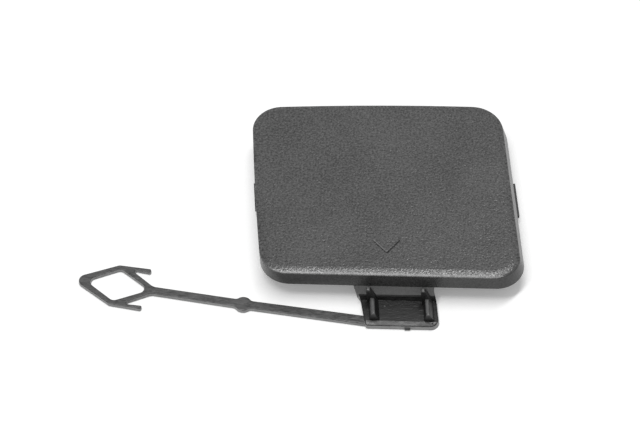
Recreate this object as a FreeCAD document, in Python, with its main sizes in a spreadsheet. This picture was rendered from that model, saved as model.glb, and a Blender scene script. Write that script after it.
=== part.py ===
"""Bumper tow hook cover: one injection moulding.

Part frame: the origin lies under the middle of the panel on the plane the part rests on.
+X runs along the tongue edge of the panel, +Y points away from the tongue, +Z out of the face.
All sizes are millimetres; slopes are sideways millimetres per millimetre of height.
"""
import FreeCAD, Part
import Sketcher
import math
import os

doc = FreeCAD.newDocument("tow_hook_cover")
sheet = doc.addObject("Spreadsheet::Sheet", "sizes")

SIZES = [
    ("face_height", 11.8, "top face above the resting plane"),
    ("rim_height", 5.9, "foot of the outer wall above the resting plane"),
    ("face_thick", 2.5, "thickness of the face"),
    ("wall_thick", 2.2, "thickness of the outer wall"),
    ("lean", 0.173, "walls shift this much to +X going down"),
    ("side_draft", 0.132, "side walls spread this much going down"),
    ("end_draft", 0.04, "front and back walls spread this much going down"),
    ("near_left", -39.5, "face corner, X"),
    ("near_right", 45.35, "face corner, X"),
    ("near_line", -36.0, "tongue edge of the face, Y"),
    ("far_left", -45.3, "face corner, X"),
    ("far_right", 38.1, "face corner, X"),
    ("far_left_line", 33.55, "face corner, Y"),
    ("far_right_line", 36.15, "face corner, Y"),
    ("far_bow_radius", 900.0, "radius of the bowed far edge"),
    ("left_bow_radius", 1100.0, "radius of the bowed left edge"),
    ("round_near_left", 9.0, "face corner radius"),
    ("round_near_right", 8.4, "face corner radius"),
    ("round_far_left", 9.8, "face corner radius"),
    ("round_far_right", 10.5, "face corner radius"),
    ("corner_growth", 0.17, "corner radii grow this much going down"),
    ("roll_width", 1.8, "slope round the face, flat"),
    ("roll_drop", 0.5, "slope round the face, down"),
    ("roll_radius", 8.0, "soft round between the face and its slope"),
    ("face_edge_round", 0.3, "crisp round between the slope and the wall"),
    ("collar_inset", 6.0, "outer wall to collar, measured at the face"),
    ("collar_thick", 1.8, "collar thickness at its root"),
    ("collar_draft", 0.02, "each collar face gives this much going down"),
    ("lug_low", 1.2, "underside of the side lugs"),
    ("lug_thick", 2.2, "height of the side lugs"),
    ("lug_reach", 1.0, "side lugs stand out of the rim"),
    ("lug_right_depth", 7.2, "right lug runs in to the collar"),
    ("lug_left_depth", 8.6, "left lug runs in to the collar"),
    ("lug_right_y", 2.9, "middle of the right lug"),
    ("lug_right_length", 13.6, "length of the right lug"),
    ("lug_left_y", 1.8, "middle of the left lug"),
    ("lug_left_length", 11.0, "length of the left lug"),
    ("lug_right_angle", 5.75, "right side against Y, degrees"),
    ("lug_left_angle", 4.65, "left side against Y, degrees"),
    ("lug_lead", 1.1, "lead-in under the lugs"),
    ("relief_width", 2.2, "slots beside the lugs"),
    ("relief_gap", 0.4, "slots stand off the lugs"),
    ("relief_reach", 3.0, "slots run this far past the lug root, both ways"),
    ("relief_top", 7.4, "slots end this high"),
    ("brace_thick", 1.5, "ribs inside the collar"),
    ("brace_low", 7.0, "lower edge of the inner ribs"),
    ("brace_pitch", 26.0, "spacing of the inner ribs"),
    ("plate_thick", 2.0, "tongue plate"),
    ("step_line", -39.05, "foot of the step, Y"),
    ("step_draft", 0.55, "step foot stands forward of its crest"),
    ("crest_height", 4.0, "crest of the step, where the ledge's slope ends"),
    ("step_wall", 2.0, "thickness of the step and of the ledge"),
    ("tongue_front", -49.2, "front edge of the tongue, Y"),
    ("bend_back", 0.4, "tongue outline bends this far behind the step foot"),
    ("ledge_left", -8.4, "tongue outline at the rim, X"),
    ("ledge_right", 17.55, "tongue outline at the rim, X"),
    ("bend_left", -6.85, "tongue outline at the step, X"),
    ("bend_right", 18.0, "tongue outline at the step, X"),
    ("front_left", -5.0, "tongue outline at the front, X"),
    ("front_right", 19.05, "tongue outline at the front, X"),
    ("tongue_round_right", 2.8, "front right corner radius"),
    ("tongue_round_left", 0.8, "front left corner radius"),
    ("lead_length", 1.9, "bevel along the front edge, flat"),
    ("lead_drop", 0.4, "bevel along the front edge, down"),
    ("step_round", 1.3, "round over the crest of the step"),
    ("plate_edge_round", 0.5, "round along the outer edges of the plate"),
    ("pit_x", 16.5, "small pit in the front corner, X"),
    ("pit_y", -47.9, "small pit in the front corner, Y"),
    ("pit_radius", 0.3, "small pit"),
    ("pit_depth", 0.5, "small pit"),
    ("nub_x", 0.9, "small moulding nub on the plate, X"),
    ("nub_y", -41.6, "small moulding nub on the plate, Y"),
    ("nub_radius", 0.3, "small moulding nub"),
    ("nub_rise", 0.25, "small moulding nub"),
    ("rib_pitch", 17.8, "left rib to right rib"),
    ("rib_x", -3.45, "ridge of the left rib at the bend, X"),
    ("rib_top", 5.0, "ridge height"),
    ("rib_back", -38.6, "ridge starts, Y"),
    ("rib_front", -47.0, "ridge ends, Y"),
    ("rib_slew", 0.65, "ridge shifts to +X towards the front"),
    ("rib_ridge", 1.2, "ridge width"),
    ("rib_foot", 3.8, "foot width of ribs and posts"),
    ("bar_draft", 0.15, "front of ribs and posts leans back by this much"),
    ("post_top", 8.7, "top of the posts"),
    ("post_front", -40.35, "front of the posts, Y"),
    ("post_back", -38.6, "back of the posts, Y"),
    ("post_lean", 1.25, "post tops lean to -X by this much"),
    ("rib_round", 0.7, "round along the ridges"),
    ("post_round", 0.5, "round over the posts"),
    ("strap_thick", 1.35, "strap, bead and anchor"),
    ("bead_x", -45.2, "bead centre, X"),
    ("bead_y", -41.25, "bead centre, Y"),
    ("bead_radius", 2.85, "bead"),
    ("bead_fillet", 1.5, "bead into strap"),
    ("strap_angle", 171.25, "bead to anchor tip against X, degrees"),
    ("strap_slim", 1.5, "half width at the anchor"),
    ("strap_mid", 1.6, "half width at the bead"),
    ("strap_wide", 1.75, "half width at the tongue"),
    ("root_x", -4.5, "strap root, X"),
    ("root_y", -46.75, "strap root, Y"),
    ("anchor_middle", 41.65, "bead to middle of the loop"),
    ("tip_reach", 15.9, "middle of the loop to the sharp tip"),
    ("tip_round", 2.5, "tip radius"),
    ("shoulder_x", 1.4, "middle of the loop to the shoulder"),
    ("shoulder_half", 8.1, "half width at the shoulder"),
    ("shoulder_round", 1.6, "shoulder radius"),
    ("barb_reach", 9.2, "barb ends behind the middle"),
    ("barb_half", 8.35, "half width across the barb ends"),
    ("barb_thick", 1.6, "barb width"),
    ("barb_taper", 0.25, "barbs narrow by this much towards their root"),
    ("barb_slant", 0.2, "inner corner of a barb end stands back by this much"),
    ("barb_round", 0.5, "corners of the barb ends"),
    ("crotch_reach", 4.3, "bottom of the notch behind each barb"),
    ("crotch_half", 6.0, "half width at the notch"),
    ("crotch_round", 0.3, "corners of the notch"),
    ("neck_reach", 11.3, "loop runs into the strap"),
    ("neck_fillet", 3.5, "loop into strap"),
    ("hole_x", 0.5, "middle of the loop to the side corners of its opening"),
    ("hole_tip", 11.1, "loop opening, middle to front corner"),
    ("hole_tail", 10.5, "loop opening, middle to back corner"),
    ("hole_half", 6.5, "loop opening, half width"),
    ("hole_round", 2.0, "loop opening corners"),
    ("strap_edge_round", 0.4, "round along the strap edges"),
    ("mark_x", 0.95, "arrow mark, X"),
    ("mark_line", -20.4, "arrow mark, far edge"),
    ("mark_angle", 2.5, "arrow mark turned by this much, degrees"),
    ("mark_width", 11.7, "arrow mark"),
    ("mark_length", 7.0, "arrow mark"),
    ("mark_rise", 0.55, "arrow mark above the face"),
    ("mark_wing_round", 1.2, "far corners of the arrow mark"),
    ("mark_tip_round", 0.8, "tip of the arrow mark"),
    ("mark_edge_round", 0.4, "round along the top of the arrow mark"),
    ("gate_x", 8.4, "gate stub on the front edge"),
    ("gate_length", 1.8, "gate stub"),
    ("gate_reach", 0.5, "gate stub stands forward"),
    ("gate_thick", 0.7, "gate stub"),
    ("gate_low", 0.3, "underside of the gate stub"),
    ("root_depth", 0.6, "joined forms start this deep inside each other"),
    ("run_past", 4.0, "cuts run past the solid by this much"),
    ("cut_span", 80.0, "cuts that go right across"),
]
for row, (alias, value, note) in enumerate(SIZES, start=1):
    sheet.set("A%d" % row, alias)
    sheet.set("B%d" % row, str(value))
    sheet.set("C%d" % row, note)
    sheet.setAlias("B%d" % row, alias)
doc.recompute()
size = dict((alias, float(value)) for alias, value, _ in SIZES)

work = doc.addObject("Spreadsheet::Sheet", "working_cell")
body = doc.addObject("PartDesign::Body", "tow_hook_cover")


def origin_item(role):
    for item in body.Origin.OriginFeatures:
        if item.Role == role:
            return item
    raise RuntimeError("no origin item " + role)


def new_sketch(name, plane="XY_Plane", height=None):
    """An empty sketch on an origin plane, raised by a sheet formula."""
    sketch = body.newObject("Sketcher::SketchObject", name)
    sketch.AttachmentSupport = [(origin_item(plane), "")]
    sketch.MapMode = "FlatFace"
    if height:
        sketch.setExpression("AttachmentOffset.Base.z", height)
    return sketch


def place_point(sketch, geo, end, x_rule, y_rule):
    """Hold one end of a line at sheet formulas, measured from the sketch origin."""
    point = sketch.getPoint(geo, end)
    places = (("DistanceX", x_rule, point.x, -2), ("DistanceY", y_rule, point.y, -1))
    for axis, rule, now, zero_line in places:
        if rule == "0":
            sketch.addConstraint(Sketcher.Constraint("PointOnObject", geo, end, zero_line))
            continue
        index = sketch.addConstraint(Sketcher.Constraint(axis, -1, 1, geo, end, now))
        sketch.setExpression("Constraints[%d]" % index, rule)


def polygon(sketch, corners):
    """A closed polygon; each corner is (x, y, x formula, y formula)."""
    count = len(corners)
    first = sketch.GeometryCount
    for i in range(count):
        a = corners[i]
        b = corners[(i + 1) % count]
        sketch.addGeometry(Part.LineSegment(FreeCAD.Vector(a[0], a[1], 0), FreeCAD.Vector(b[0], b[1], 0)))
    for i in range(count):
        sketch.addConstraint(Sketcher.Constraint("Coincident", first + i, 2, first + (i + 1) % count, 1))
    for i in range(count):
        place_point(sketch, first + i, 1, corners[i][2], corners[i][3])


def wall_corner(name, drop, inset, spread):
    """Position of one panel corner this far below the face and this far inside the wall."""
    x_side = 1 if name.endswith("left") else -1
    y_side = 1 if name.startswith("near") else -1
    y_name = "near_line" if y_side > 0 else name + "_line"
    draft_x = "(sizes.side_draft * %s)" % spread
    draft_y = "(sizes.end_draft * %s)" % spread
    x_rule = "sizes.%s + sizes.lean * (%s) %s ((%s) - %s * (%s))" % (
        name, drop, "+" if x_side > 0 else "-", inset, draft_x, drop)
    y_rule = "sizes.%s %s ((%s) - %s * (%s))" % (
        y_name, "+" if y_side > 0 else "-", inset, draft_y, drop)
    return x_rule, y_rule


def panel_outline(name, drop, inset, spread="1"):
    """Rounded four-sided outline of the panel, this far below the face, this far inside the wall.

    The far and the left edge are shallow arcs; the other two are straight.
    """
    names = ["near_left", "near_right", "far_right", "far_left"]
    drop_now = rule_value(drop)
    inset_now = rule_value(inset)
    spread_now = float(spread)
    points = []
    for corner in names:
        side = 1 if corner.endswith("left") else -1
        inward = 1 if corner.startswith("near") else -1
        y_base = size["near_line"] if inward > 0 else size[corner + "_line"]
        x = size[corner] + size["lean"] * drop_now
        x += side * (inset_now - size["side_draft"] * spread_now * drop_now)
        y = y_base + inward * (inset_now - size["end_draft"] * spread_now * drop_now)
        points.append(FreeCAD.Vector(x, y, 0))
    sketch = new_sketch(name, height="sizes.face_height - (%s)" % drop)
    growth = size["corner_growth"] * drop_now
    radii = [max(size["round_" + corner] + growth - inset_now, size["collar_thick"]) for corner in names]
    ends = []
    for i in range(4):
        here = points[i]
        ahead = points[(i + 1) % 4] - here
        behind = points[i - 1] - here
        ahead.normalize()
        behind.normalize()
        half = math.acos(max(-1.0, min(1.0, ahead.dot(behind)))) / 2
        run = radii[i] / math.tan(half)
        middle = ahead + behind
        middle.normalize()
        centre = here + middle * (radii[i] / math.sin(half))
        ends.append((here + behind * run, here + ahead * run, centre))
    edges = []
    bows = {2: "far_bow_radius", 3: "left_bow_radius"}
    for i in range(4):
        start = ends[i][1]
        stop = ends[(i + 1) % 4][0]
        if i in bows:
            chord = stop - start
            radius = size[bows[i]]
            inward = FreeCAD.Vector(-chord.y, chord.x, 0)
            inward.normalize()
            middle = (start + stop) * 0.5
            deep = math.sqrt(radius * radius - chord.Length * chord.Length / 4)
            top = middle - inward * (radius - deep)
            edges.append(sketch.addGeometry(Part.Arc(start, top, stop)))
        else:
            edges.append(sketch.addGeometry(Part.LineSegment(start, stop)))
    turns = []
    for i in range(4):
        start, stop, centre = ends[i]
        toward = points[i] - centre
        toward.normalize()
        turns.append(sketch.addGeometry(Part.Arc(start, centre + toward * radii[i], stop)))
    for i in range(4):
        sketch.addConstraint(Sketcher.Constraint("Tangent", edges[i - 1], 2, turns[i], 1))
        sketch.addConstraint(Sketcher.Constraint("Tangent", turns[i], 2, edges[i], 1))
    for i in range(4):
        index = sketch.addConstraint(Sketcher.Constraint("Radius", turns[i], radii[i]))
        rule = "max(sizes.round_%s + sizes.corner_growth * (%s) - (%s); sizes.collar_thick)" % (
            names[i], drop, inset)
        sketch.setExpression("Constraints[%d]" % index, rule)
    for i, alias in bows.items():
        index = sketch.addConstraint(Sketcher.Constraint("Radius", edges[i], size[alias]))
        sketch.setExpression("Constraints[%d]" % index, "sizes." + alias)
    for i, corner in enumerate(names):
        spot = sketch.addGeometry(Part.Point(points[i]), True)
        sketch.addConstraint(Sketcher.Constraint("PointOnObject", spot, 1, edges[i]))
        sketch.addConstraint(Sketcher.Constraint("PointOnObject", spot, 1, edges[i - 1]))
        x_rule, y_rule = wall_corner(corner, drop, inset, spread)
        place_point(sketch, spot, 1, x_rule, y_rule)
    return sketch


def rule_value(rule):
    """Number behind a sheet formula, read back from a sheet that nothing depends on."""
    work.set("A1", "=" + rule)
    work.recompute()
    return float(work.get("A1"))


def corner_at(x_rule, y_rule):
    return (rule_value(x_rule), rule_value(y_rule), x_rule, y_rule)


def finish(feature):
    doc.recompute()
    if "Invalid" in feature.State or "Error" in feature.State or not feature.Shape.isValid():
        raise RuntimeError("feature failed: " + feature.Name + " " + str(feature.State))
    return feature


def pad(name, sketch, length, leaning=False):
    feature = body.newObject("PartDesign::Pad", name)
    feature.Profile = sketch
    feature.setExpression("Length", length)
    if leaning:
        feature.UseCustomVector = True
        feature.AlongSketchNormal = True
        feature.Direction = FreeCAD.Vector(-size["lean"], 0, 1)
        feature.setExpression("Direction.x", "-sizes.lean")
    sketch.Visibility = False
    return finish(feature)


def pocket(name, sketch, length, reverse=False, midplane=False):
    before = body.Tip.Shape.Volume
    feature = body.newObject("PartDesign::Pocket", name)
    feature.Profile = sketch
    feature.setExpression("Length", length)
    feature.Reversed = reverse
    feature.Midplane = midplane
    sketch.Visibility = False
    finish(feature)
    if feature.Shape.Volume >= before - 0.01:
        raise RuntimeError("pocket removed nothing: " + name)
    return feature


def loft(name, low, *higher, cut=False):
    """Ruled loft through closed sketches, lowest first."""
    before = body.Tip.Shape.Volume
    kind = "PartDesign::SubtractiveLoft" if cut else "PartDesign::AdditiveLoft"
    feature = body.newObject(kind, name)
    feature.Profile = low
    feature.Sections = list(higher)
    feature.Ruled = True
    for sketch in (low, *higher):
        sketch.Visibility = False
    finish(feature)
    grown = feature.Shape.Volume - before
    if (cut and grown > -0.01) or (not cut and grown < 0.01):
        raise RuntimeError("loft changed nothing: " + name)
    return feature


def edge_names(feature, test):
    """Names of the edges of a feature that pass a test on (edge, middle point)."""
    names = []
    for number, edge in enumerate(feature.Shape.Edges, start=1):
        first, last = edge.ParameterRange
        middle = edge.valueAt((first + last) / 2)
        if test(edge, middle):
            names.append("Edge%d" % number)
    return names


def fillet(name, test, radius, expected=None):
    base = body.Tip
    names = edge_names(base, test)
    if not names or (expected and len(names) != expected):
        raise RuntimeError("fillet %s found %d edges" % (name, len(names)))
    feature = body.newObject("PartDesign::Fillet", name)
    feature.Base = (base, names)
    feature.setExpression("Radius", radius)
    base.Visibility = False
    return finish(feature)


def upright(edge):
    box = edge.BoundBox
    return box.ZLength > 0.5 and box.XLength < 0.6 * box.ZLength and box.YLength < 0.6 * box.ZLength


def near(point, x, y, reach):
    return abs(point.x - x) < reach and abs(point.y - y) < reach


def level(edge, height):
    """True for an edge that lies all along at one height."""
    return edge.BoundBox.ZLength < 0.02 and abs(edge.BoundBox.ZMin - height) < 0.02


def disc(name, x, y, radius, height=None):
    """Sketch of one circle, held by three aliases of the sheet."""
    sketch = new_sketch(name, height=height)
    middle = FreeCAD.Vector(size[x], size[y], 0)
    circle = sketch.addGeometry(Part.Circle(middle, FreeCAD.Vector(0, 0, 1), size[radius]))
    index = sketch.addConstraint(Sketcher.Constraint("Radius", circle, size[radius]))
    sketch.setExpression("Constraints[%d]" % index, "sizes." + radius)
    place_point(sketch, circle, 3, "sizes." + x, "sizes." + y)
    return sketch


# Tongue: one leaning prism, cut to a ledge, a step and a plate.
plan = new_sketch("tongue_plan")
back = "sizes.near_line + sizes.wall_thick"
wall_foot = "sizes.near_line - sizes.end_draft * (sizes.face_height - sizes.rim_height)"
bend = "sizes.step_line + sizes.bend_back"
polygon(plan, [
    corner_at("sizes.ledge_left", back),
    corner_at("sizes.ledge_left", wall_foot),
    corner_at("sizes.bend_left", bend),
    corner_at("sizes.front_left", "sizes.tongue_front"),
    corner_at("sizes.front_right", "sizes.tongue_front"),
    corner_at("sizes.bend_right", bend),
    corner_at("sizes.ledge_right", wall_foot),
    corner_at("sizes.ledge_right", back),
])
pad("tongue_block", plan, "sizes.rim_height + sizes.wall_thick", leaning=True)
for side in ("right", "left"):
    corner_x = size["front_" + side] - size["lean"] * size["rim_height"] / 2
    fillet("tongue_corner_" + side, lambda e, p: upright(e) and near(p, corner_x, size["tongue_front"], 1.0),
           "sizes.tongue_round_" + side, 1)

# The upper cut leaves a ledge that slopes down from the wall foot, the step and the plate.
above = new_sketch("above_plate", "YZ_Plane")
polygon(above, [
    corner_at("sizes.near_line", "sizes.rim_height"),
    corner_at(wall_foot + " + 0.03", "sizes.rim_height"),
    corner_at("sizes.step_line + sizes.step_draft", "sizes.crest_height"),
    corner_at("sizes.step_line", "sizes.plate_thick"),
    corner_at("sizes.tongue_front + sizes.lead_length", "sizes.plate_thick"),
    corner_at("sizes.tongue_front - 0.02", "sizes.plate_thick - sizes.lead_drop"),
    corner_at("sizes.tongue_front - sizes.run_past", "sizes.plate_thick - sizes.lead_drop"),
    corner_at("sizes.tongue_front - sizes.run_past", "sizes.rim_height + sizes.run_past"),
    corner_at("sizes.near_line", "sizes.rim_height + sizes.run_past"),
])
pocket("cut_above_plate", above, "sizes.cut_span", midplane=True)

below = new_sketch("below_ledge", "YZ_Plane")
polygon(below, [
    corner_at("sizes.near_line + sizes.run_past", "-sizes.run_past"),
    corner_at("sizes.near_line + sizes.run_past", "sizes.rim_height - sizes.step_wall"),
    corner_at("sizes.step_line + sizes.step_draft + sizes.step_wall", "sizes.rim_height - sizes.step_wall"),
    corner_at("sizes.step_line + sizes.step_wall", "-sizes.run_past"),
])
pocket("cut_below_ledge", below, "sizes.cut_span", midplane=True)

tongue_width = size["bend_right"] - size["bend_left"]


def across(edge):
    return edge.BoundBox.XLength > tongue_width / 2


def on_plate_edge(edge, point):
    """Outer edges of the plate: both sides, both front corners and the front edge."""
    low = size["plate_thick"] - size["lead_drop"]
    in_height = low - 0.02 < point.z < size["plate_thick"] + 0.02
    lying = edge.BoundBox.ZLength < size["lead_drop"] + 0.02
    return in_height and lying and (not across(edge) or abs(point.y - size["tongue_front"]) < 0.1)


fillet("crest_round", lambda e, p: across(e) and level(e, size["crest_height"])
       and abs(p.y - size["step_line"] - size["step_draft"]) < 0.1, "sizes.step_round", 1)
fillet("plate_edge_rounding", on_plate_edge, "sizes.plate_edge_round", 7)

# Two ribs along the plate, each with a post in front of the step.
def leaning_bar(name, low_z, high_z, foot, ridge, low_box, high_box, shift_low, shift_high, slew):
    """Four-sided bar between two heights; boxes are (back, front) formulas."""
    sketches = []
    for tag, z, width, box, shift in (("foot", low_z, foot, low_box, shift_low),
                                      ("ridge", high_z, ridge, high_box, shift_high)):
        sketch = new_sketch(name + "_" + tag, height=z)
        middle = "sizes.rib_x + (%s)" % shift
        polygon(sketch, [
            corner_at("%s - (%s) / 2" % (middle, width), box[0]),
            corner_at("%s - (%s) / 2 + (%s)" % (middle, width, slew), box[1]),
            corner_at("%s + (%s) / 2 + (%s)" % (middle, width, slew), box[1]),
            corner_at("%s + (%s) / 2" % (middle, width), box[0]),
        ])
        sketches.append(sketch)
    return loft(name, sketches[0], sketches[1])


foot_level = "sizes.plate_thick - sizes.root_depth"
foot_shift = "sizes.lean * (sizes.rib_top - sizes.plate_thick + sizes.root_depth)"
lower_rib = leaning_bar(
    "rib", foot_level, "sizes.rib_top", "sizes.rib_foot", "sizes.rib_ridge",
    ("sizes.rib_back + 1.5 * sizes.bar_draft", "sizes.rib_front - sizes.bar_draft"),
    ("sizes.rib_back", "sizes.rib_front"), foot_shift, "0", "sizes.rib_slew")
post = leaning_bar(
    "post", foot_level, "sizes.post_top", "sizes.rib_foot", "sizes.rib_ridge",
    ("sizes.post_back + sizes.root_depth", "sizes.post_front - sizes.bar_draft"),
    ("sizes.post_back", "sizes.post_front + sizes.bar_draft"), foot_shift, "-sizes.post_lean", "0")
pair = body.newObject("PartDesign::LinearPattern", "rib_pair")
pair.Originals = [lower_rib, post]
pair.Direction = (origin_item("X_Axis"), [""])
pair.setExpression("Length", "sizes.rib_pitch")
pair.Occurrences = 2
body.Tip = pair
finish(pair)


fillet("post_rounding", lambda e, p: level(e, size["post_top"]), "sizes.post_round", 8)
fillet("ridge_rounding", lambda e, p: level(e, size["rib_top"]) and p.y < size["post_front"] - 0.4,
       "sizes.rib_round", 6)

pit = disc("pit_outline", "pit_x", "pit_y", "pit_radius", "sizes.plate_thick")
pocket("pit", pit, "sizes.pit_depth")
nub = disc("nub_outline", "nub_x", "nub_y", "nub_radius", "sizes.plate_thick - sizes.nub_rise")
pad("nub", nub, "2 * sizes.nub_rise")

# Strap, bead and anchor lie flat on the resting plane.
def strap_frame(name):
    """Sketch with its origin at the bead and its X towards the anchor tip."""
    sketch = new_sketch(name)
    sketch.setExpression("AttachmentOffset.Base.x", "sizes.bead_x")
    sketch.setExpression("AttachmentOffset.Base.y", "sizes.bead_y")
    sketch.setExpression("AttachmentOffset.Rotation.Angle", "sizes.strap_angle")
    return sketch


def mirrored(points, tip=None, tail=None):
    """Corners of an outline that is the same on both sides of X, given for one side."""
    corners = [corner_at(x, y) for x, y in points]
    if tip:
        corners.append(corner_at(tip, "0"))
    corners += [corner_at(x, "-(%s)" % y) for x, y in reversed(points)]
    if tail:
        corners.append(corner_at(tail, "0"))
    return corners


mid = "sizes.anchor_middle"
root = new_sketch("strap_root_outline")
along_x = "(sizes.root_x - sizes.bead_x)"
along_y = "(sizes.root_y - sizes.bead_y)"
reach = "sqrt(%s ^ 2 + %s ^ 2)" % (along_x, along_y)
side_x = "(-%s / %s)" % (along_y, reach)
side_y = "(%s / %s)" % (along_x, reach)


def beside(place, sign, width):
    """Corner of the strap beside its bead or its root."""
    return corner_at("sizes.%s_x %s %s * sizes.%s" % (place, sign, side_x, width),
                     "sizes.%s_y %s %s * sizes.%s" % (place, sign, side_y, width))


polygon(root, [beside("bead", "+", "strap_mid"), beside("bead", "-", "strap_mid"),
               beside("root", "-", "strap_wide"), beside("root", "+", "strap_wide")])
pad("strap_root", root, "sizes.strap_thick")

side = [
    ("-0.2", "sizes.strap_mid"),
    ("%s - sizes.neck_reach" % mid, "sizes.strap_slim"),
    ("%s - sizes.crotch_reach" % mid, "sizes.crotch_half"),
    ("%s - sizes.crotch_reach" % mid, "sizes.barb_half + sizes.barb_taper - sizes.barb_thick"),
    ("%s - sizes.barb_reach - sizes.barb_slant" % mid, "sizes.barb_half - sizes.barb_thick"),
    ("%s - sizes.barb_reach" % mid, "sizes.barb_half"),
    ("%s + sizes.shoulder_x" % mid, "sizes.shoulder_half"),
]
outer = strap_frame("anchor_outline")
polygon(outer, mirrored(side, "%s + sizes.tip_reach" % mid))
pad("anchor", outer, "sizes.strap_thick")


def strap_point(along, across):
    """Where a point of the strap frame lies in the part frame."""
    turn = math.radians(size["strap_angle"])
    x = size["bead_x"] + along * math.cos(turn) - across * math.sin(turn)
    y = size["bead_y"] + along * math.sin(turn) + across * math.cos(turn)
    return x, y


def strap_fillet(name, spots, radius, expected):
    """Round the upright edges of the strap that stand at these strap-frame points."""
    places = [strap_point(*spot) for spot in spots]
    fillet(name, lambda e, p: upright(e) and any(near(p, x, y, 0.12) for x, y in places), radius, expected)


def both_sides(along, half):
    return [(along, half), (along, -half)]


middle = size["anchor_middle"]
barb_inner = size["barb_half"] - size["barb_thick"]
neck = middle - size["neck_reach"]
crotch = middle - size["crotch_reach"]
barb_end = middle - size["barb_reach"]
strap_fillet("tip_rounding", [(middle + size["tip_reach"], 0.0)], "sizes.tip_round", 1)
strap_fillet("shoulder_rounding", both_sides(middle + size["shoulder_x"], size["shoulder_half"]),
             "sizes.shoulder_round", 2)
strap_fillet("neck_rounding", both_sides(neck, size["strap_slim"]), "sizes.neck_fillet", 2)
strap_fillet("notch_rounding",
             both_sides(crotch, size["crotch_half"]) + both_sides(crotch, barb_inner + size["barb_taper"]),
             "sizes.crotch_round", 4)
strap_fillet("barb_rounding",
             both_sides(barb_end, size["barb_half"]) + both_sides(barb_end - size["barb_slant"], barb_inner),
             "sizes.barb_round", 4)
pad("bead", disc("bead_outline", "bead_x", "bead_y", "bead_radius"), "sizes.strap_thick")


def at_bead(edge, point):
    away = math.hypot(point.x - size["bead_x"], point.y - size["bead_y"])
    return upright(edge) and abs(away - size["bead_radius"]) < 0.01


fillet("bead_blend", at_bead, "sizes.bead_fillet", 4)

opening = strap_frame("loop_opening")
polygon(opening, mirrored([("%s + sizes.hole_x" % mid, "sizes.hole_half")],
                          "%s + sizes.hole_tip" % mid, "%s - sizes.hole_tail" % mid))
pocket("loop_cut", opening, "sizes.cut_span", reverse=True)
strap_fillet("opening_rounding",
             [(middle + size["hole_tip"], 0.0), (middle - size["hole_tail"], 0.0)]
             + both_sides(middle + size["hole_x"], size["hole_half"]),
             "sizes.hole_round", 4)

strap_end = size["front_left"] - size["strap_wide"]
fillet("strap_edges", lambda e, p: level(e, size["strap_thick"]) and p.x < strap_end,
       "sizes.strap_edge_round")

# Panel: outer skin, hollow, collar ring. Each is a loft between rounded outlines.
# The skin ends in a shallow slope round the face, soft on its inner and crisp on its outer edge.
wall_drop = "sizes.face_height - sizes.rim_height"
under_face = "sizes.face_thick"
loft("panel_skin", panel_outline("rim_outline", wall_drop, "0"),
     panel_outline("slope_outline", "sizes.roll_drop", "0"),
     panel_outline("face_outline", "0", "sizes.roll_width"))
fillet("face_roll", lambda e, p: level(e, size["face_height"]), "sizes.roll_radius", 8)
fillet("face_edge", lambda e, p: level(e, size["face_height"] - size["roll_drop"]),
       "sizes.face_edge_round", 8)
loft("panel_hollow", panel_outline("hollow_mouth", wall_drop, "sizes.wall_thick"),
     panel_outline("hollow_roof", under_face, "sizes.wall_thick"), cut=True)

collar_at_foot = "sizes.collar_inset + sizes.collar_draft * sizes.face_height"
inner_at_root = "sizes.collar_inset + sizes.collar_thick"
inner_at_foot = "sizes.collar_inset + sizes.collar_thick - sizes.collar_draft * sizes.face_height"
loft("collar_plug", panel_outline("collar_foot", "sizes.face_height", collar_at_foot, "0"),
     panel_outline("collar_root", "sizes.face_thick - sizes.root_depth", "sizes.collar_inset", "0"))
loft("collar_bore", panel_outline("bore_foot", "sizes.face_height", inner_at_foot, "0"),
     panel_outline("bore_roof", under_face, inner_at_root, "0"), cut=True)


def side_slant(angle, y_rule):
    """How far a slanted side has moved in X between the tongue edge and this Y."""
    return "tan(%s * 1deg) * (%s - sizes.near_line)" % (angle, y_rule)


# Side lugs on the collar, each between two relief slots.
def side_frame(name, side, height=None):
    """Sketch frame on the rim beside a lug, X pointing out of the side."""
    angle = "sizes.lug_%s_angle" % side
    middle = "sizes.lug_%s_y" % side
    spread = "+" if side == "right" else "-"
    run_out = "(sizes.lean %s sizes.side_draft) * (%s)" % (spread, wall_drop)
    x_rule = "sizes.near_%s + %s - %s" % (side, run_out, side_slant(angle, middle))
    sketch = new_sketch(name, height=height)
    sketch.setExpression("AttachmentOffset.Base.x", x_rule)
    sketch.setExpression("AttachmentOffset.Base.y", middle)
    turn = "180 + " + angle if side == "left" else angle
    sketch.setExpression("AttachmentOffset.Rotation.Angle", turn)
    return sketch


def rectangle(sketch, x_low, x_high, y_low, y_high):
    polygon(sketch, [corner_at(x_low, y_low), corner_at(x_high, y_low),
                     corner_at(x_high, y_high), corner_at(x_low, y_high)])


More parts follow.
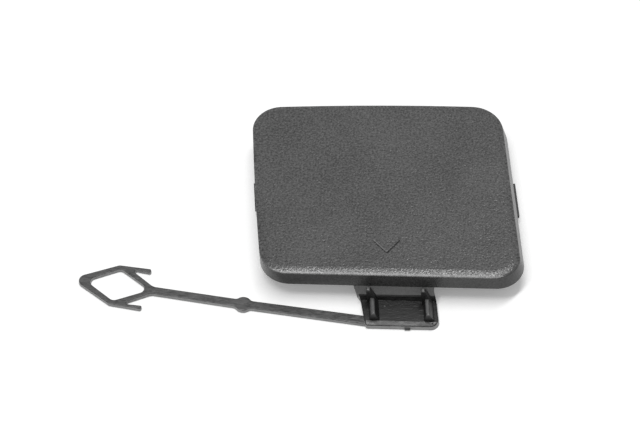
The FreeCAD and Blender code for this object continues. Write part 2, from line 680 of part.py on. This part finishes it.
for side in ("right", "left"):
    depth = "sizes.lug_%s_depth" % side
    half = "sizes.lug_%s_length / 2" % side
    slots = side_frame("relief_outline_" + side, side)
    slot_near = half + " + sizes.relief_gap"
    slot_far = slot_near + " + sizes.relief_width"
    for low, high in ((slot_near, slot_far), ("-(%s)" % slot_far, "-(%s)" % slot_near)):
        rectangle(slots, "-%s - sizes.relief_reach" % depth, "-%s + sizes.relief_reach" % depth, low, high)
    pocket("relief_" + side, slots, "sizes.relief_top", reverse=True)
    plan = side_frame("lug_outline_" + side, side, "sizes.lug_low")
    rectangle(plan, "-" + depth, "sizes.lug_reach", "-(%s)" % half, half)
    pad("lug_" + side, plan, "sizes.lug_thick")
    turn = math.radians(size["lug_%s_angle" % side] + (180 if side == "left" else 0))
    out = (math.cos(turn), math.sin(turn))
    base = plan.AttachmentOffset.Base
    solid = body.Tip
    edges = edge_names(solid, lambda e, p: level(e, size["lug_low"])
                       and e.BoundBox.YLength > size["lug_%s_length" % side] / 2
                       and abs((p.x - base.x) * out[0] + (p.y - base.y) * out[1] - size["lug_reach"]) < 0.05)
    if len(edges) != 1:
        raise RuntimeError("lug edge not found")
    lead = body.newObject("PartDesign::Chamfer", "lug_lead_" + side)
    lead.Base = (solid, edges)
    lead.setExpression("Size", "sizes.lug_lead")
    finish(lead)

# Ribs inside the collar stiffen the face.
inside = "(sizes.collar_inset + sizes.collar_thick / 2)"
brace_drop = "(sizes.face_height - sizes.brace_low)"
cross = new_sketch("cross_rib_outline", height="sizes.brace_low")
for offset in ("-sizes.brace_pitch / 2", "sizes.brace_pitch / 2"):
    left = "sizes.near_left + sizes.lean * %s + %s - %s" % (
        brace_drop, inside, side_slant("sizes.lug_left_angle", offset))
    right = "sizes.near_right + sizes.lean * %s - %s - %s" % (
        brace_drop, inside, side_slant("sizes.lug_right_angle", offset))
    rectangle(cross, left, right, offset + " - sizes.brace_thick / 2", offset + " + sizes.brace_thick / 2")
brace_height = "sizes.face_height - sizes.face_thick - sizes.brace_low + sizes.root_depth"
pad("cross_ribs", cross, brace_height, leaning=True)
upward = new_sketch("upright_rib_outline", height="sizes.brace_low")
for offset in ("-sizes.brace_pitch / 2", "sizes.brace_pitch / 2"):
    share = "((%s - sizes.far_left) / (sizes.far_right - sizes.far_left))" % offset
    far = "sizes.far_left_line + (sizes.far_right_line - sizes.far_left_line) * %s - %s" % (share, inside)
    rectangle(upward, "%s - sizes.brace_thick / 2" % offset, "%s + sizes.brace_thick / 2" % offset,
              "sizes.near_line + %s" % inside, far)
pad("upright_ribs", upward, brace_height, leaning=True)

# Arrow mark on the face, pointing at the tongue.
mark = new_sketch("arrow_outline", height="sizes.face_height - sizes.root_depth")
mark.setExpression("AttachmentOffset.Base.x", "sizes.mark_x")
mark.setExpression("AttachmentOffset.Base.y", "sizes.mark_line")
mark.setExpression("AttachmentOffset.Rotation.Angle", "sizes.mark_angle")
polygon(mark, [
    corner_at("-sizes.mark_width / 2", "0"),
    corner_at("0", "-sizes.mark_length"),
    corner_at("sizes.mark_width / 2", "0"),
])
pad("arrow_mark", mark, "sizes.mark_rise + sizes.root_depth")
turned = math.radians(size["mark_angle"])


def mark_fillet(name, corners, radius):
    """Round upright edges of the arrow mark, given in its own frame."""
    places = [(size["mark_x"] + x * math.cos(turned) - y * math.sin(turned),
               size["mark_line"] + x * math.sin(turned) + y * math.cos(turned)) for x, y in corners]
    fillet(name, lambda e, p: p.z > size["face_height"] and not level(e, p.z)
           and any(near(p, x, y, 0.05) for x, y in places), radius, len(corners))


wing = size["mark_width"] / 2
mark_fillet("mark_wings", [(-wing, 0.0), (wing, 0.0)], "sizes.mark_wing_round")
mark_fillet("mark_tip", [(0.0, -size["mark_length"])], "sizes.mark_tip_round")
fillet("mark_edges", lambda e, p: level(e, size["face_height"] + size["mark_rise"]),
       "sizes.mark_edge_round", 6)

# Stub left by the moulding gate under the front edge.
stub = new_sketch("gate_outline", height="sizes.gate_low")
rectangle(stub, "sizes.gate_x - sizes.gate_length / 2", "sizes.gate_x + sizes.gate_length / 2",
          "sizes.tongue_front - sizes.gate_reach", "sizes.tongue_front + sizes.root_depth")
pad("gate_stub", stub, "sizes.gate_thick")

doc.removeObject(work.Name)
doc.recompute()
for item in doc.Objects:
    if "Invalid" in item.State or "Error" in item.State:
        raise RuntimeError("object failed: " + item.Name)
if body.Shape.isNull() or not body.Shape.isValid() or len(body.Shape.Solids) != 1:
    raise RuntimeError("the cover is not one valid solid")
os.makedirs("parts", exist_ok=True)
body.Shape.exportStep("parts/tow_hook_cover.step")
print("volume", body.Shape.Volume, "box", body.Shape.BoundBox)
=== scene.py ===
"""Looks, light and camera for a bumper tow hook cover.

The cover is one moulding, so its solid stays as it is and gets the finishes of its zones: a grained
face, satin walls, a dark tongue plate and plain tops, with painted light on some zones: a painted
highlight on the front of the rim, on the ledge and on the tops of ribs and posts, a painted sheen on the
front and right sides of tongue and strap, and painted shade on underside, lugs, gate stub and rib sides.
"""
import math

import bpy
from bpy.props import FloatProperty, FloatVectorProperty, PointerProperty
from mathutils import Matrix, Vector

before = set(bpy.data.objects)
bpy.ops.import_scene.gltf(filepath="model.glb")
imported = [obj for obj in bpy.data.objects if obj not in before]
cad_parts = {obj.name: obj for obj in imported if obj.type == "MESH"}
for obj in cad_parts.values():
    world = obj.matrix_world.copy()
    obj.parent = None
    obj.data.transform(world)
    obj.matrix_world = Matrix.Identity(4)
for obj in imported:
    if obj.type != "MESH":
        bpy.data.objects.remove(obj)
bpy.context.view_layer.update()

bl_info = {
    "name": "Tow hook cover looks",
    "version": (1, 0, 0),
    "blender": (4, 5, 0),
    "location": "View3D > Sidebar > Tow hook cover",
    "description": "Moulded plastic finishes, soft light and camera for a bumper tow hook cover",
    "category": "Object",
}

COVER = "tow_hook_cover"
MM = 0.001

# Lines and levels of the solid that part one finish from another, in metres.
FACE_EDGE = 11.1 * MM
RIM_FOOT = 5.9 * MM
PANEL_FRONT = -36.3 * MM
ANCHOR_RIGHT = -60.0 * MM
RISER_TOP = -38.3 * MM
RISER_FOOT = -39.3 * MM
PLATE_LOW = 1.5 * MM
PLATE_HIGH = 2.1 * MM
GATE_BACK = -49.25 * MM

# Parts of a polygon's unit normal: up, from which it is a top, down, to which it is a side, and across.
TOP_FACING = 0.6
SIDE_FACING = -0.3
ACROSS = 0.2

# The crisp round between face and wall, with the sides of the arrow mark: its lowest level, how far up
# it faces at both ends, and how far it faces to the front or the right where its finish changes. Facing
# the front it takes a pale colour, a painted highlight; facing front and right it takes the darker wall
# finish, painted shade.
RIM_LOW = 10.5 * MM
RIM_STEEP = 0.25
RIM_FLAT = 0.965
RIM_ACROSS = 0.1

# Depth of a zone's grain, as a multiple of the grain depth in the settings. The rim takes the wall's,
# and ribs, narrow sides and underside take the edge's.
FACE_GRAIN = 1.3
TOP_GRAIN = 1.5
WALL_GRAIN = 0.3
EDGE_GRAIN = 0.2

# The noises of the moulded surface: how fine they are and how far they reach into one another.
WAVES_PER_METRE = 900.0
WAVE_STRETCH = (0.3, 1.0, 1.0)
WAVE_WARP = 1.2
CLOUDS_PER_METRE = 60.0
NOISE_DETAIL = 2.0
PEBBLE_SMOOTHNESS = 0.5
FINE_SHARE = 0.5
CLOUD_SHARE = 0.18
GLOSS_SHARE = 0.3

# Noise values that give the darkest and the palest tone.
NOISE_LOW = 0.35
NOISE_HIGH = 0.65


class CoverFinishSettings(bpy.types.PropertyGroup):
    """Colour and gloss of the moulded plastic, with painted highlight, sheen and shade in some zones."""

    face_color: FloatVectorProperty(
        name="Face colour", description="Base colour of the grained face",
        subtype="COLOR", size=3, min=0.0, max=1.0, default=(0.049, 0.049, 0.049))
    # Pale colour of the front-facing crisp round and arrow sides: a painted highlight.
    rim_color: FloatVectorProperty(
        name="Painted highlight rim colour", description="Base colour of the crisp round between face and wall",
        subtype="COLOR", size=3, min=0.0, max=1.0, default=(0.15, 0.15, 0.15))
    rim_roughness: FloatProperty(
        name="Rim roughness", description="Roughness of the crisp round between face and wall",
        subtype="FACTOR", min=0.0, max=1.0, default=0.3)
    wall_color: FloatVectorProperty(
        name="Wall colour", description="Base colour of the outer walls",
        subtype="COLOR", size=3, min=0.0, max=1.0, default=(0.046, 0.046, 0.046))
    top_color: FloatVectorProperty(
        name="Top colour", description="Base colour of the top of strap and loop",
        subtype="COLOR", size=3, min=0.0, max=1.0, default=(0.036, 0.036, 0.036))
    plate_color: FloatVectorProperty(
        name="Plate colour", description="Base colour of the tongue plate",
        subtype="COLOR", size=3, min=0.0, max=1.0, default=(0.014, 0.014, 0.014))
    plate_roughness: FloatProperty(
        name="Plate roughness", description="Roughness of the tongue plate",
        subtype="FACTOR", min=0.0, max=1.0, default=0.3)
    # Paler colour of the ledge and of the tops of ribs and posts: a painted highlight, which also lightens
    # the ledge under the shade of the panel.
    painted_highlight_rib_color: FloatVectorProperty(
        name="Painted highlight rib colour", description="Base colour of the ledge and of the tops of ribs and posts",
        subtype="COLOR", size=3, min=0.0, max=1.0, default=(0.08, 0.08, 0.08))
    rib_roughness: FloatProperty(
        name="Rib roughness", description="Roughness of the ledge and of the tops of ribs and posts",
        subtype="FACTOR", min=0.0, max=1.0, default=0.28)
    # Pale colour of the front- and right-facing sides of tongue and strap: a painted sheen on the same
    # plastic as the tops.
    painted_sheen_edge_color: FloatVectorProperty(
        name="Painted sheen edge colour", description="Base colour of the front and right sides of tongue and strap",
        subtype="COLOR", size=3, min=0.0, max=1.0, default=(0.26, 0.26, 0.26))
    # Near-black colour of underside, hollow, lugs, gate stub and rib sides: painted shade.
    painted_shade_inner_color: FloatVectorProperty(
        name="Painted shade inner colour", description="Base colour of underside, lugs, gate stub and sides of the ribs",
        subtype="COLOR", size=3, min=0.0, max=1.0, default=(0.008, 0.008, 0.008))
    face_roughness: FloatProperty(
        name="Face roughness", description="Roughness of the grained face",
        subtype="FACTOR", min=0.0, max=1.0, default=0.27)
    wall_roughness: FloatProperty(
        name="Wall roughness", description="Roughness of the outer walls",
        subtype="FACTOR", min=0.0, max=1.0, default=0.32)
    smooth_roughness: FloatProperty(
        name="Smooth roughness", description="Roughness of strap, loop, narrow sides and underside",
        subtype="FACTOR", min=0.0, max=1.0, default=0.38)
    grain_size: FloatProperty(
        name="Grain size", description="Width of one cell of the mould grain",
        subtype="DISTANCE", unit="LENGTH", min=0.0001, max=0.005, default=0.65 * MM)
    grain_depth: FloatProperty(
        name="Grain depth", description="Depth of the mould grain, before the multiple of each zone",
        subtype="DISTANCE", unit="LENGTH", min=0.0, max=0.001, default=0.08 * MM)


class StudioSettings(bpy.types.PropertyGroup):
    """Floor, light and camera."""

    camera_distance: FloatProperty(
        name="Camera distance", description="From the aim point to the camera",
        subtype="DISTANCE", unit="LENGTH", min=0.1, default=1.1)
    camera_turn: FloatProperty(
        name="Camera turn", description="How far the camera stands to the right of the front",
        subtype="ANGLE", default=math.radians(1.75))
    camera_rise: FloatProperty(
        name="Camera rise", description="Height angle of the camera above the floor",
        subtype="ANGLE", default=math.radians(52.0))
    camera_lens: FloatProperty(
        name="Lens", description="Focal length on a 36 mm wide sensor, in millimetres",
        min=10.0, default=185.6)
    aim: FloatVectorProperty(
        name="Aim point", description="Floor point at the middle of the picture",
        subtype="TRANSLATION", unit="LENGTH", size=3, default=(-21.36 * MM, -2.25 * MM, 0.0))
    softbox_height: FloatProperty(
        name="Softbox height", description="Height of the strip softbox over the floor",
        subtype="DISTANCE", unit="LENGTH", min=0.1, default=3.0)
    softbox_length: FloatProperty(
        name="Softbox length", description="Long side of the strip softbox, from left to right",
        subtype="DISTANCE", unit="LENGTH", min=0.01, default=3.0)
    softbox_width: FloatProperty(
        name="Softbox width", description="Short side of the strip softbox",
        subtype="DISTANCE", unit="LENGTH", min=0.01, default=0.4)
    softbox_power: FloatProperty(
        name="Softbox power", description="Radiant power of the strip softbox",
        subtype="POWER", unit="POWER", min=0.0, default=62.0)
    softbox_back: FloatProperty(
        name="Softbox to the back", description="How far the softbox stands behind overhead",
        subtype="ANGLE", default=math.radians(5.5))
    softbox_left: FloatProperty(
        name="Softbox to the left", description="How far the softbox stands left of overhead",
        subtype="ANGLE", default=math.radians(6.0))
    room_level: FloatProperty(
        name="Room level", description="Strength of the white surroundings",
        min=0.0, default=0.4)
    floor_glow: FloatProperty(
        name="Floor glow", description="Added white of the floor where it is seen or mirrored",
        min=0.0, default=0.22)
    floor_color: FloatVectorProperty(
        name="Floor colour", description="Colour of the floor",
        subtype="COLOR", size=3, min=0.0, max=1.0, default=(0.9, 0.9, 0.9))


def add_math(tree, operation, first, second):
    """A Math node between sockets or numbers; gives its output."""
    node = tree.nodes.new("ShaderNodeMath")
    node.operation = operation
    for place, value in enumerate((first, second)):
        if isinstance(value, bpy.types.NodeSocket):
            tree.links.new(value, node.inputs[place])
        else:
            node.inputs[place].default_value = value
    return node.outputs[0]


def add_noise(tree, place, scale, detail, distortion=0.0):
    """A noise texture at a place, with its scale as a socket or a number; gives its value."""
    node = tree.nodes.new("ShaderNodeTexNoise")
    tree.links.new(place, node.inputs["Vector"])
    if isinstance(scale, bpy.types.NodeSocket):
        tree.links.new(scale, node.inputs["Scale"])
    else:
        node.inputs["Scale"].default_value = scale
    node.inputs["Detail"].default_value = detail
    node.inputs["Distortion"].default_value = distortion
    return node.outputs["Fac"]


def blend_values(tree, share, first, second):
    """From the first value at share 0 to the second at share 1."""
    node = tree.nodes.new("ShaderNodeMix")
    node.data_type = "FLOAT"
    for name, value in (("Factor", share), ("A", first), ("B", second)):
        if isinstance(value, bpy.types.NodeSocket):
            tree.links.new(value, node.inputs[name])
        else:
            node.inputs[name].default_value = value
    return node.outputs["Result"]


def moulded_surface():
    """Shared effect: pebbled mould grain and wavy flow streaks, as height, tone and gloss."""
    name = "moulded surface"
    if name in bpy.data.node_groups:
        return bpy.data.node_groups[name]
    group = bpy.data.node_groups.new(name, "ShaderNodeTree")
    for label in ("Cells per metre", "Streaks", "Mottle", "Roughness"):
        group.interface.new_socket(label, in_out="INPUT", socket_type="NodeSocketFloat")
    group.interface.new_socket("Color", in_out="INPUT", socket_type="NodeSocketColor")
    for label in ("Height", "Roughness"):
        group.interface.new_socket(label, in_out="OUTPUT", socket_type="NodeSocketFloat")
    group.interface.new_socket("Color", in_out="OUTPUT", socket_type="NodeSocketColor")
    given = group.nodes.new("NodeGroupInput").outputs
    result = group.nodes.new("NodeGroupOutput").inputs
    place = group.nodes.new("ShaderNodeTexCoord").outputs["Object"]

    cells = group.nodes.new("ShaderNodeTexVoronoi")
    cells.feature = "SMOOTH_F1"
    cells.inputs["Smoothness"].default_value = PEBBLE_SMOOTHNESS
    group.links.new(place, cells.inputs["Vector"])
    group.links.new(given["Cells per metre"], cells.inputs["Scale"])
    pebbles = add_math(group, "SUBTRACT", 1.0, cells.outputs["Distance"])
    fine = add_noise(group, place, given["Cells per metre"], NOISE_DETAIL)
    grain = blend_values(group, FINE_SHARE, pebbles, fine)

    stretch = group.nodes.new("ShaderNodeMapping")
    stretch.inputs["Scale"].default_value = WAVE_STRETCH
    group.links.new(place, stretch.inputs["Vector"])
    waves = add_noise(group, stretch.outputs["Vector"], WAVES_PER_METRE, NOISE_DETAIL, WAVE_WARP)
    group.links.new(blend_values(group, given["Streaks"], grain, waves), result["Height"])

    clouds = add_noise(group, place, CLOUDS_PER_METRE, NOISE_DETAIL)
    mottled = blend_values(group, CLOUD_SHARE, fine, clouds)
    shade = blend_values(group, given["Streaks"], mottled, waves)
    swing = group.nodes.new("ShaderNodeMapRange")
    swing.inputs["From Min"].default_value = NOISE_LOW
    swing.inputs["From Max"].default_value = NOISE_HIGH
    swing.inputs["To Min"].default_value = -1.0
    swing.inputs["To Max"].default_value = 1.0
    group.links.new(shade, swing.inputs["Value"])
    change = add_math(group, "MULTIPLY", swing.outputs["Result"], given["Mottle"])
    tone = add_math(group, "ADD", change, 1.0)
    tinted = group.nodes.new("ShaderNodeVectorMath")
    tinted.operation = "SCALE"
    group.links.new(given["Color"], tinted.inputs[0])
    group.links.new(tone, tinted.inputs["Scale"])
    group.links.new(tinted.outputs["Vector"], result["Color"])
    polish = add_math(group, "SUBTRACT", 1.0, add_math(group, "MULTIPLY", change, GLOSS_SHARE))
    gloss = add_math(group, "MULTIPLY", given["Roughness"], polish)
    group.links.new(gloss, result["Roughness"])
    return group


def seen_or_mirrored(tree):
    """1 for rays from the camera, off a gloss or through glass, else 0."""
    rays = tree.nodes.new("ShaderNodeLightPath").outputs
    mirrored = add_math(tree, "MAXIMUM", rays["Is Glossy Ray"], rays["Is Transmission Ray"])
    return add_math(tree, "MAXIMUM", rays["Is Camera Ray"], mirrored)


def plastic(name, color, roughness, cell, depth, mottle, streaks=0.0, specular=0.5):
    """Moulded black plastic with grain of a given cell and depth, mottling and flow streaks."""
    material = bpy.data.materials.new(name)
    material.use_nodes = True
    tree = material.node_tree
    shader = tree.nodes["Principled BSDF"]
    shader.inputs["Specular IOR Level"].default_value = specular
    surface = tree.nodes.new("ShaderNodeGroup")
    surface.node_tree = moulded_surface()
    surface.inputs["Cells per metre"].default_value = 1.0 / cell
    surface.inputs["Streaks"].default_value = streaks
    surface.inputs["Mottle"].default_value = mottle
    surface.inputs["Color"].default_value = (*color, 1.0)
    surface.inputs["Roughness"].default_value = roughness
    bump = tree.nodes.new("ShaderNodeBump")
    bump.inputs["Distance"].default_value = depth
    tree.links.new(surface.outputs["Height"], bump.inputs["Height"])
    tree.links.new(bump.outputs["Normal"], shader.inputs["Normal"])
    tree.links.new(surface.outputs["Color"], shader.inputs["Base Color"])
    tree.links.new(surface.outputs["Roughness"], shader.inputs["Roughness"])
    return material


def zone_of(center, normal):
    """Which finish a polygon of the cover takes, by where it lies and where it faces; the facing also sets
    where highlight, sheen and shade are painted.
    """
    beside_panel = center.y < PANEL_FRONT or center.x < ANCHOR_RIGHT
    if not beside_panel:
        on_rim = center.z > RIM_LOW and RIM_STEEP < normal.z < RIM_FLAT
        # The front-facing crisp round is painted pale, a painted highlight, except where it also faces
        # right: there it takes the darker wall finish, painted shade.
        if on_rim and normal.y < -RIM_ACROSS:
            return "wall" if normal.x > RIM_ACROSS else "rim"
        if center.z > FACE_EDGE:
            return "face"
        outward = center.x * normal.x + center.y * normal.y > 0.0
        # Inward faces and faces below the rim foot take the near-black colour, painted shade.
        return "wall" if center.z > RIM_FOOT and outward else "inner"
    # The gate stub and downward faces take the near-black colour, painted shade.
    if center.y < GATE_BACK or normal.z < SIDE_FACING:
        return "inner"
    if center.z > PLATE_HIGH:
        # The ledge and the tops of ribs and posts take the paler colour, a painted highlight; the sides of
        # ribs and posts take the near-black colour, painted shade.
        on_ledge = center.y > RISER_TOP and abs(normal.x) < ACROSS
        if on_ledge:
            return "rib"
        on_riser = center.y > RISER_FOOT and normal.y < -TOP_FACING
        if on_riser:
            return "plate"
        return "rib" if normal.z > TOP_FACING else "inner"
    if normal.z > TOP_FACING:
        return "plate" if center.z > PLATE_LOW else "top"
    # Sides facing front or right take the pale colour, a painted sheen; sides facing left or back stay
    # plain tops.
    faces_out = normal.y < -ACROSS or normal.x > ACROSS
    return "edge" if faces_out else "top"


class COVER_OT_finish(bpy.types.Operator):
    """Give the moulding its grained face, satin walls, dark plate and tops, and its painted highlight,
    sheen and shade
    """

    bl_idname = "cover.finish"
    bl_label = "Cover finishes"

    def execute(self, context):
        look = context.scene.cover_finish
        cell = look.grain_size
        depth = look.grain_depth
        smooth = look.smooth_roughness
        finishes = {
            "face": plastic("grained face", look.face_color, look.face_roughness,
                            cell, depth * FACE_GRAIN, mottle=1.0),
            # Pale colour on the front of the crisp round: a painted highlight.
            "rim": plastic("rim with painted highlight", look.rim_color, look.rim_roughness,
                           cell, depth * WALL_GRAIN, mottle=0.4),
            "wall": plastic("satin wall", look.wall_color, look.wall_roughness,
                            cell, depth * WALL_GRAIN, mottle=0.3, specular=0.35),
            "top": plastic("plain top", look.top_color, smooth,
                           cell, depth * TOP_GRAIN, mottle=1.0, streaks=0.8),
            "plate": plastic("tongue plate", look.plate_color, look.plate_roughness,
                             cell, depth, mottle=0.8, streaks=0.8, specular=0.3),
            # Paler colour of the ledge and of the tops of ribs and posts: a painted highlight.
            "rib": plastic("rib top with painted highlight", look.painted_highlight_rib_color, look.rib_roughness,
                           cell, depth * EDGE_GRAIN, mottle=0.2),
            # Pale colour of the front- and right-facing sides: a painted sheen.
            "edge": plastic("edge with painted sheen", look.painted_sheen_edge_color, smooth,
                            cell, depth * EDGE_GRAIN, mottle=0.2, streaks=0.8),
            # Near-black colour of underside, lugs, gate stub and rib sides: painted shade.
            "inner": plastic("inner side with painted shade", look.painted_shade_inner_color, smooth,
                             cell, depth * EDGE_GRAIN, mottle=0.2),
        }
        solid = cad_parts[COVER]
        slots = solid.data.materials
        slots.clear()
        order = list(finishes)
        for zone in order:
            slots.append(finishes[zone])
        for polygon in solid.data.polygons:
            polygon.material_index = order.index(zone_of(polygon.center, polygon.normal))
        return {"FINISHED"}


class COVER_OT_studio(bpy.types.Operator):
    """Build the floor, the white room, the overhead softbox and the camera"""

    bl_idname = "cover.studio"
    bl_label = "Studio"

    def execute(self, context):
        studio = context.scene.cover_studio
        self.floor(context, studio)
        self.room(context, studio)
        self.softbox(context, studio)
        self.camera(context, studio)
        context.scene.view_settings.view_transform = "Standard"
        return {"FINISHED"}

    def floor(self, context, studio):
        """A pale square under the object, with an added white where it is seen or mirrored."""
        reach = 4.0
        mesh = bpy.data.meshes.new("floor")
        corners = [(-reach, -reach, 0), (reach, -reach, 0), (reach, reach, 0), (-reach, reach, 0)]
        mesh.from_pydata(corners, [], [(0, 1, 2, 3)])
        plane = bpy.data.objects.new("floor", mesh)
        context.scene.collection.objects.link(plane)
        material = bpy.data.materials.new("pale floor")
        material.use_nodes = True
        tree = material.node_tree
        shader = tree.nodes["Principled BSDF"]
        shader.inputs["Emission Color"].default_value = (1.0, 1.0, 1.0, 1.0)
        glow = add_math(tree, "MULTIPLY", seen_or_mirrored(tree), studio.floor_glow)
        tree.links.new(glow, shader.inputs["Emission Strength"])
        shader.inputs["Base Color"].default_value = (*studio.floor_color, 1.0)
        shader.inputs["Roughness"].default_value = 0.9
        shader.inputs["Specular IOR Level"].default_value = 0.0
        mesh.materials.append(material)

    def room(self, context, studio):
        """White surroundings, at full white where they are seen or mirrored."""
        world = bpy.data.worlds.new("white room")
        context.scene.world = world
        world.use_nodes = True
        tree = world.node_tree
        back = tree.nodes["Background"]
        back.inputs["Color"].default_value = (1.0, 1.0, 1.0, 1.0)
        level = blend_values(tree, seen_or_mirrored(tree), studio.room_level, 1.0)
        tree.links.new(level, back.inputs["Strength"])

    def softbox(self, context, studio):
        """A strip light over the object, long from left to right, that faces it."""
        data = bpy.data.lights.new("softbox", "AREA")
        data.shape = "RECTANGLE"
        data.size = studio.softbox_length
        data.size_y = studio.softbox_width
        data.energy = studio.softbox_power
        light = bpy.data.objects.new("softbox", data)
        toward = Vector((-math.tan(studio.softbox_left), math.tan(studio.softbox_back), 1.0))
        light.location = toward * studio.softbox_height
        light.rotation_euler = toward.to_track_quat("Z", "Y").to_euler()
        context.scene.collection.objects.link(light)

    def camera(self, context, studio):
        """The camera at the photograph's angle, which looks at the aim point."""
        data = bpy.data.cameras.new("camera")
        data.sensor_width = 36.0
        data.lens = studio.camera_lens
        data.clip_start = 0.01
        data.clip_end = 100.0
        camera = bpy.data.objects.new("camera", data)
        aim = Vector(studio.aim)
        turn = studio.camera_turn
        rise = studio.camera_rise
        toward = Vector((math.sin(turn) * math.cos(rise), -math.cos(turn) * math.cos(rise), math.sin(rise)))
        camera.location = aim + toward * studio.camera_distance
        camera.rotation_euler = (-toward).to_track_quat("-Z", "Y").to_euler()
        context.scene.collection.objects.link(camera)
        context.scene.camera = camera


class COVER_PT_panel(bpy.types.Panel):
    """Sidebar panel with the steps and their settings"""

    bl_label = "Tow hook cover"
    bl_idname = "COVER_PT_panel"
    bl_space_type = "VIEW_3D"
    bl_region_type = "UI"
    bl_category = "Tow hook cover"

    def draw(self, context):
        layout = self.layout
        for settings, operator in ((context.scene.cover_finish, "cover.finish"),
                                   (context.scene.cover_studio, "cover.studio")):
            column = layout.column()
            for name in settings.__annotations__:
                column.prop(settings, name)
            column.operator(operator)


CLASSES = (CoverFinishSettings, StudioSettings, COVER_OT_finish, COVER_OT_studio, COVER_PT_panel)


def register():
    for item in CLASSES:
        bpy.utils.register_class(item)
    bpy.types.Scene.cover_finish = PointerProperty(type=CoverFinishSettings)
    bpy.types.Scene.cover_studio = PointerProperty(type=StudioSettings)


def unregister():
    del bpy.types.Scene.cover_studio
    del bpy.types.Scene.cover_finish
    for item in reversed(CLASSES):
        bpy.utils.unregister_class(item)


def main():
    register()
    bpy.ops.cover.finish()
    bpy.ops.cover.studio()


if __name__ == "__main__":
    main()
